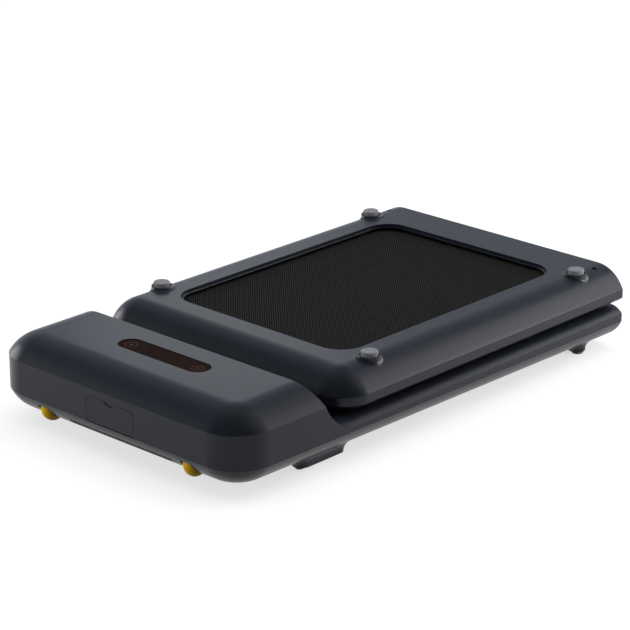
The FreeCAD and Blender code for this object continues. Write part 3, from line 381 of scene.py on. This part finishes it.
# copies of the CAD pieces with smooth rounds, crisp creases and, on the mouldings, broken edges
edges = {"split": 26.0, "weld": 0.002 * mm, "segments": 2, "mouldings": {
    "front_top_cover": 0.4 * mm, "front_bottom_shell": 0.4 * mm, "rear_bottom_shell": 0.4 * mm,
    "rear_rail_cover": 0.4 * mm, "inlet_door": 0.3 * mm, "hood_foot_pads": 0.6 * mm,
}}


def dressed(node, edge):
    split = math.radians(edges["split"])
    mesh = nodes[node].data.copy()
    work = bmesh.new()
    work.from_mesh(mesh)
    bmesh.ops.remove_doubles(work, verts=work.verts, dist=edges["weld"])
    work.to_mesh(mesh)
    work.free()
    mesh.shade_smooth()
    mesh.set_sharp_from_angle(angle=split)
    piece = bpy.data.objects.new(node + "_finished", mesh)
    bpy.context.scene.collection.objects.link(piece)
    if edge:
        bevel = piece.modifiers.new("brokenEdge", "BEVEL")
        bevel.width, bevel.segments = edge, edges["segments"]
        bevel.limit_method, bevel.angle_limit = "ANGLE", split
        bevel.harden_normals = True
    even = piece.modifiers.new("flatsStayFlat", "WEIGHTED_NORMAL")
    even.keep_sharp = True
    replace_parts(piece, node)
    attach(piece, bodyOf[node])


remade = {"front_rubber_feet", "rear_rubber_feet"}
for node in nodes:
    if slotOf[node] != "belt" and node not in remade:
        dressed(node, edges["mouldings"].get(node, 0.0))
print("stage: CAD pieces dressed")


def meshPiece(name, points, faces, body, slot, uv, finish=None):
    mesh = bpy.data.meshes.new(name)
    mesh.from_pydata(points.tolist(), [], faces)
    mesh.materials.append(finish or finishes[slot])
    layer = mesh.uv_layers.new(name="run")
    corner = np.zeros(len(mesh.loops), np.int32)
    mesh.loops.foreach_get("vertex_index", corner)
    layer.data.foreach_set("uv", uv[corner].astype(np.float32).ravel())
    mesh.update()
    mesh.shade_smooth()
    mesh.set_sharp_from_angle(angle=math.radians(edges["split"]))
    piece = bpy.data.objects.new(name, mesh)
    bpy.context.scene.collection.objects.link(piece)
    if body:
        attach(piece, body)
    return piece


# a turned form about the Z axis: a profile of (radius, height) from the top's middle to the foot's,
# carried round in equal steps; the two ends of the profile lie on the axis and close it with fans
def turned(profile, steps):
    a = np.linspace(0, 2 * math.pi, steps, endpoint=False)
    radius, height = profile[1:-1].T
    rings = np.stack([np.outer(radius, np.cos(a)), np.outer(radius, np.sin(a)),
                      np.broadcast_to(height[:, None], (len(radius), steps))], 2).reshape(-1, 3)
    points = np.concatenate([rings, [[0, 0, profile[0, 1]], [0, 0, profile[-1, 1]]]])
    i, k = np.meshgrid(np.arange(len(radius) - 1), np.arange(steps), indexing="ij")
    here, after = i * steps + k, i * steps + (k + 1) % steps
    faces = np.stack([here, here + steps, after + steps, after], 2).reshape(-1, 4).tolist()
    k = np.arange(steps)
    top, foot, last = np.full(steps, len(rings)), np.full(steps, len(rings) + 1), len(rings) - steps
    faces += np.stack([top, k, (k + 1) % steps], 1).tolist()
    faces += np.stack([foot, last + (k + 1) % steps, last + k], 1).tolist()
    return points, faces


# rubber feet: face dished as a parabola, rounded rim, drafted side; the front half's feet face down
rubberFeet = {"steps": 96, "faceSteps": 9, "rimSteps": 9,
              "edge": 1.8 * mm, "dish": 0.3 * mm, "draft": 0.25 * mm,
              "rear_rubber_feet": {"radius": 13.0 * mm, "up": True, "across": 2},
              "front_rubber_feet": {"radius": 9.5 * mm, "up": False, "across": 1}}


def footSet(node, radius, up, across):
    corners = np.array(nodes[node].bound_box)
    low, high = corners.min(0), corners.max(0)
    tall, edge = high[2] - low[2], rubberFeet["edge"]
    inner = np.linspace(0, 1, rubberFeet["faceSteps"])[:, None] * [radius - edge, 0]
    inner[:, 1] = tall - rubberFeet["dish"] * (1 - (inner[:, 0] / (radius - edge)) ** 2)
    rim = arcPoints(radius - edge, tall - edge, edge, 90, 0, rubberFeet["rimSteps"])[1:]
    side = np.array([[radius - rubberFeet["draft"], 0], [0, 0]])
    points, faces = turned(np.concatenate([inner, rim, side]), rubberFeet["steps"])
    if not up:
        points = points * [1, -1, -1] + [0, 0, tall]
    places = [(x, y, low[2]) for x in np.linspace(low[0] + radius, high[0] - radius, across)
              for y in (low[1] + radius, high[1] - radius)]
    every = np.concatenate([points + place for place in places])
    turns = [[v + n * len(points) for v in face] for n in range(len(places)) for face in faces]
    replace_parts(meshPiece(node + "_turned", every, turns, bodyOf[node], slotOf[node], every[:, :2]), node)


# a flat band carried along a path of (x, z) points: six points round its section at every station,
# offset along the path's normal by half the thickness; u is the place along x, v the place across
def bandAlong(path, halfWidth, thickness, edge):
    step = np.gradient(path, axis=0)
    step /= np.linalg.norm(step, axis=1, keepdims=True)
    normal = np.stack([-step[:, 1], step[:, 0]], 1)
    inset = halfWidth - edge
    y = np.array([-halfWidth, -inset, inset, halfWidth, inset, -inset])
    lift = np.array([0, 1, 1, 0, -1, -1]) * thickness / 2
    x = path[:, None, 0] + normal[:, None, 0] * lift[None]
    z = path[:, None, 1] + normal[:, None, 1] * lift[None]
    points = np.stack([x, np.broadcast_to(y, x.shape), z], 2).reshape(-1, 3)
    around = len(y)
    i, k = np.meshgrid(np.arange(len(path) - 1), np.arange(around), indexing="ij")
    a, b = i * around + k, i * around + (k + 1) % around
    faces = np.stack([a, b, b + around, a + around], 2).reshape(-1, 4).tolist()
    last = (len(path) - 1) * around
    faces += [list(range(around))[::-1], list(range(last, last + around))]
    return points, faces, points[:, :2].copy()


# points on an arc about (x, z), angles in degrees
def arcPoints(x, z, radius, start, end, count):
    a = np.radians(np.linspace(start, end, count))
    return np.stack([x + radius * np.cos(a), z + radius * np.sin(a)], 1)


for node in sorted(remade):
    footSet(node, **rubberFeet[node])
print("stage: rubber feet")


# bead along the inner edge of the ledge in the rear half's belt window: a small round section carried
# along a rectangle with round corners; sizes from the fold end and the middle
bead = {"foldClear": 0.5 * mm, "cornerSteps": 17, "roundSteps": 13, "foldGap": 77.0 * mm,
        "length": 501.5 * mm, "half": 179.0 * mm, "corner": 38.5 * mm, "height": 56.1 * mm,
        "radius": 0.9 * mm}


def windowBead():
    x1 = foldX - bead["foldClear"] - bead["foldGap"]
    x0, half, corner = x1 - bead["length"], bead["half"], bead["corner"]
    spots = [(x1 - corner, half - corner, 0), (x0 + corner, half - corner, 90),
             (x0 + corner, corner - half, 180), (x1 - corner, corner - half, 270)]
    line = np.concatenate([arcPoints(x, y, corner, start, start + 90, bead["cornerSteps"])
                           for x, y, start in spots])
    step = np.roll(line, -1, 0) - np.roll(line, 1, 0)
    step /= np.linalg.norm(step, axis=1, keepdims=True)
    out = np.stack([step[:, 1], -step[:, 0]], 1)
    section = arcPoints(0, 0, bead["radius"], 0, 360, bead["roundSteps"])[:-1]
    flat = line[:, None] + out[:, None] * section[None, :, :1]
    height = np.broadcast_to(foldZ + bead["height"] + section[:, 1], flat.shape[:2])
    points = np.concatenate([flat, height[..., None]], 2).reshape(-1, 3)
    rows, turns = len(line), len(section)
    i, k = np.meshgrid(np.arange(rows), np.arange(turns), indexing="ij")
    a, b = i * turns + k, i * turns + (k + 1) % turns
    c, d = (i + 1) % rows * turns + (k + 1) % turns, (i + 1) % rows * turns + k
    faces = np.stack([a, d, c, b], 2).reshape(-1, 4).tolist()
    meshPiece("rear_window_bead", points, faces, "rear_half", "shell", points[:, :2])


# painted shade of the vents: a dull black band along the tray's front rounding, first on its surface and then, in
# the slot, just under it, standing for the shade inside the slots; the angles are measured from the rearward
# horizontal
paintedShadeBand = {"count": 27, "pitch": 8.0 * mm, "middle": -10.0 * mm, "halfWidth": 2.25 * mm, "x": -394.19 * mm,
         "z": 73.48 * mm, "topRadius": 56.6 * mm, "topStart": 219.0, "topEnd": 228.0, "topSteps": 7,
         "radius": 56.1 * mm, "start": 229.0, "end": 261.0, "steps": 17,
         "thickness": 0.5 * mm, "edge": 0.1 * mm}


def paintedVentShade():
    parts = [("topRadius", "topStart", "topEnd", "topSteps"), ("radius", "start", "end", "steps")]
    path = np.concatenate([arcPoints(paintedShadeBand["x"], paintedShadeBand["z"], *[paintedShadeBand[key] for key in part])
                           for part in parts])
    points, faces, _ = bandAlong(path, paintedShadeBand["halfWidth"], paintedShadeBand["thickness"], paintedShadeBand["edge"])
    order = np.arange(paintedShadeBand["count"])
    side = paintedShadeBand["middle"] + (order - order.mean()) * paintedShadeBand["pitch"]
    every = (points[None] + np.stack([side * 0, side, side * 0], 1)[:, None]).reshape(-1, 3)
    turns = [[v + n * len(points) for v in face] for n in order.tolist() for face in faces]
    # one near-black band per vent slot, as painted shade
    meshPiece("front_vent_painted_shade", every, turns, "base", "black_plastic", every[:, :2], mattBlack("paintedVentShadeBlack"))


paintedVentShade()
windowBead()
print("stage: vent gauze and window bead")


# depths are measured from the fold's plane
belt = {"halfWidth": 200 * mm, "thickness": 1.8 * mm, "walkDepth": 5.5 * mm, "returnDepth": 10.5 * mm,
        "edge": 0.7 * mm, "lean": 60.0, "endGap": 0.05 * mm, "runSteps": 30, "wrapSteps": 33,
        "idlerSteps": 13, "foldSteps": 41, "blendReach": 0.98}


# one half's run as (x, depth): fold, roller, back along the underside, up round the two idlers, fold
def beltPath(rollers):
    half, steps, turns = belt["thickness"] / 2, belt["runSteps"], belt["idlerSteps"]
    places = [joints[roller]["pos_m"] for roller in rollers]
    (rx, rd), (lx, ld), (ux, ud) = [(x, abs(z - foldZ)) for x, _, z in places]
    big = rd - belt["walkDepth"] - half
    small = ud - belt["returnDepth"] - half
    end = foldX - belt["endGap"]
    walk = np.stack([np.linspace(end, rx, steps), np.full(steps, belt["walkDepth"] + half)], 1)[:-1]
    wrap = arcPoints(rx, rd, big, -90, -270, belt["wrapSteps"])
    back = np.stack([np.linspace(rx, lx, steps), np.full(steps, rd + big)], 1)[1:-1]
    first = arcPoints(lx, ld, small, 90, 90 - belt["lean"], turns)
    second = arcPoints(ux, ud, small, 270 - belt["lean"], 270, turns)
    return np.concatenate([walk, wrap, back, first, second, [[end, belt["returnDepth"] + half]]])


def walkingBelt(name, sign, body, node, rollers):
    path = beltPath(rollers)
    path[:, 1] = foldZ + sign * path[:, 1]
    way = path[::-1] if sign > 0 else path
    points, faces, uv = bandAlong(way, belt["halfWidth"], belt["thickness"], belt["edge"])
    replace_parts(meshPiece(name, points, faces, body, "belt", uv), node)


walkingBelt("walking_belt_front", -1, "base", "front_belt",
            ("drive_roller_turn", "front_lower_idler_turn", "front_upper_idler_turn"))
walkingBelt("walking_belt_rear", 1, "rear_half", "rear_belt",
            ("tail_roller_turn", "rear_lower_idler_turn", "rear_upper_idler_turn"))


# belt over the fold: half rings about the fold axis
def foldSpan(name, inner):
    path = arcPoints(foldX, foldZ, inner + belt["thickness"] / 2, 90, -90, belt["foldSteps"])
    points, faces, uv = bandAlong(path, belt["halfWidth"], belt["thickness"], belt["edge"])
    piece = meshPiece(name, points, faces, None, "belt", uv)
    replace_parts(piece, "belt_fold_span")
    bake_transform(piece)


foldSpan("belt_fold_walk", belt["walkDepth"])
foldSpan("belt_fold_return", belt["returnDepth"])
print("stage: walking belt")

# white sweep under broad soft lamps, with a bright band at the back of the horizon; a sun has its way, power,
# spread in degrees and whether reflections show it, a panel its place, aim, size, power and the same
studio = {"floorSize": 30.0, "floorDrop": 0.4 * mm, "floorGlow": 0.66, "floorTone": 0.4, "floorBounce": 0.12,
          "floorRough": 0.9, "skyPower": 0.56, "skyTint": (0.86, 0.98, 1.12, 1.0), "backWay": (0.73, 0.683),
          "skyHeight": [(0.0, 1.0), (0.36, 1.0), (0.7, 0.12), (1.0, 0.08)],
          "skyBack": [(0.0, 0.06), (0.35, 0.12), (0.65, 0.8), (0.8, 1.0)],
          "suns": {"fillTop": ((0.1, 0.05, 1.0), 1.9, 90.0, False),
                   "fillFront": ((-0.85, 0.1, 0.2), 0.9, 60.0, False),
                   "rightBackLamp": ((0.9, -0.3, 0.2), 1.75, 50.0, True),
                   "rightTopLamp": ((0.6, -0.4, 0.7), 0.4, 50.0, True),
                   "leftLamp": ((-0.2, 0.98, 0.1), 1.6, 40.0, True),
                   "backTopLamp": ((0.45, 0.42, 0.8), 0.2, 60.0, True)},
          "panels": {"leftLowPanel": ((-0.95, 0.75, 0.12), (-0.44, 0.2, 0.09), (0.5, 0.18), 1.2, True),
                     "rightLowPanel": ((0.85, -0.95, 0.14), (0.3, -0.26, 0.07), (0.5, 0.15), 7.0, True),
                     "backPanel": ((0.9, 1.15, 0.75), (-0.2, -0.1, 0.1), (0.6, 0.4), 0.68, True)}}


# seen by the camera, or in a reflection, the floor glows part of its white, so the shadow on it stays light
def floorSweep():
    paint = Paint("paleFloor")
    rays = ("Is Camera Ray", "Is Glossy Ray", "Is Transmission Ray")
    seen = sum(paint.add("LightPath", out=ray) for ray in rays)
    bounce, tone, glow, dark = [(v, v, v, 1.0) for v in (studio["floorBounce"], studio["floorTone"],
                                                         studio["floorGlow"], 0.0)]
    paint.set(Base_Color=paint.mix(seen, bounce, tone), Roughness=studio["floorRough"],
              Specular_IOR_Level=0.0, Emission_Color=paint.mix(seen, dark, glow), Emission_Strength=1.0)
    corners = np.array([[-1, -1, 0], [1, -1, 0], [1, 1, 0], [-1, 1, 0]]) * studio["floorSize"] / 2
    corners[:, 2] = -studio["floorDrop"]
    mesh = bpy.data.meshes.new("floor")
    mesh.from_pydata(corners.tolist(), [], [[0, 1, 2, 3]])
    mesh.materials.append(paint.material)
    floor = bpy.data.objects.new("floor", mesh)
    bpy.context.scene.collection.objects.link(floor)


def aimed(name, data, place, target):
    obj = bpy.data.objects.new(name, data)
    obj.location = place
    obj.rotation_euler = (Vector(target) - Vector(place)).to_track_quat("-Z", "Y").to_euler()
    bpy.context.scene.collection.objects.link(obj)
    return obj


floorSweep()
for name, (way, power, spread, shines) in studio["suns"].items():
    lamp = bpy.data.lights.new(name, "SUN")
    lamp.energy, lamp.angle = power, math.radians(spread)
    aimed(name, lamp, way, (0, 0, 0)).visible_glossy = shines
for name, (place, target, (wide, tall), power, shines) in studio["panels"].items():
    panel = bpy.data.lights.new(name, "AREA")
    panel.shape, panel.size, panel.size_y, panel.energy = "RECTANGLE", wide, tall, power
    aimed(name, panel, place, target).visible_glossy = shines

bpy.context.scene.world = bpy.data.worlds.new("studio")
sky = Tree(bpy.context.scene.world)
x, y, z = sky.split(sky.add("TexCoord", out="Generated"))
back = (x * studio["backWay"][0] + y * studio["backWay"][1]) * 0.5 + 0.5
ramps = []
for key, value in (("skyHeight", z), ("skyBack", back)):
    stops = [(place, (tone,) * 3) for place, tone in studio[key]]
    ramps.append(sky.add("ValToRGB", {"stops": stops}, {0: value}))
power = ramps[0] * ramps[1] * studio["skyPower"]
sky.add("OutputWorld", None, {0: sky.add("Background", None, {0: studio["skyTint"], 1: power})})

# camera fitted to the photo's edges
view = {"place": (-2.7920, -2.5998, 1.5257), "target": (0.085678, 0.091793, 0.06), "lens": 149.78,
        "sensor": 36.0, "reach": 50.0}
lens = bpy.data.cameras.new("camera")
lens.lens, lens.sensor_width, lens.clip_end = view["lens"], view["sensor"], view["reach"]
bpy.context.scene.camera = aimed("camera", lens, view["place"], view["target"])
bpy.context.scene.view_settings.view_transform = "Standard"
print("stage: light and camera")

bpy.context.view_layer.update()
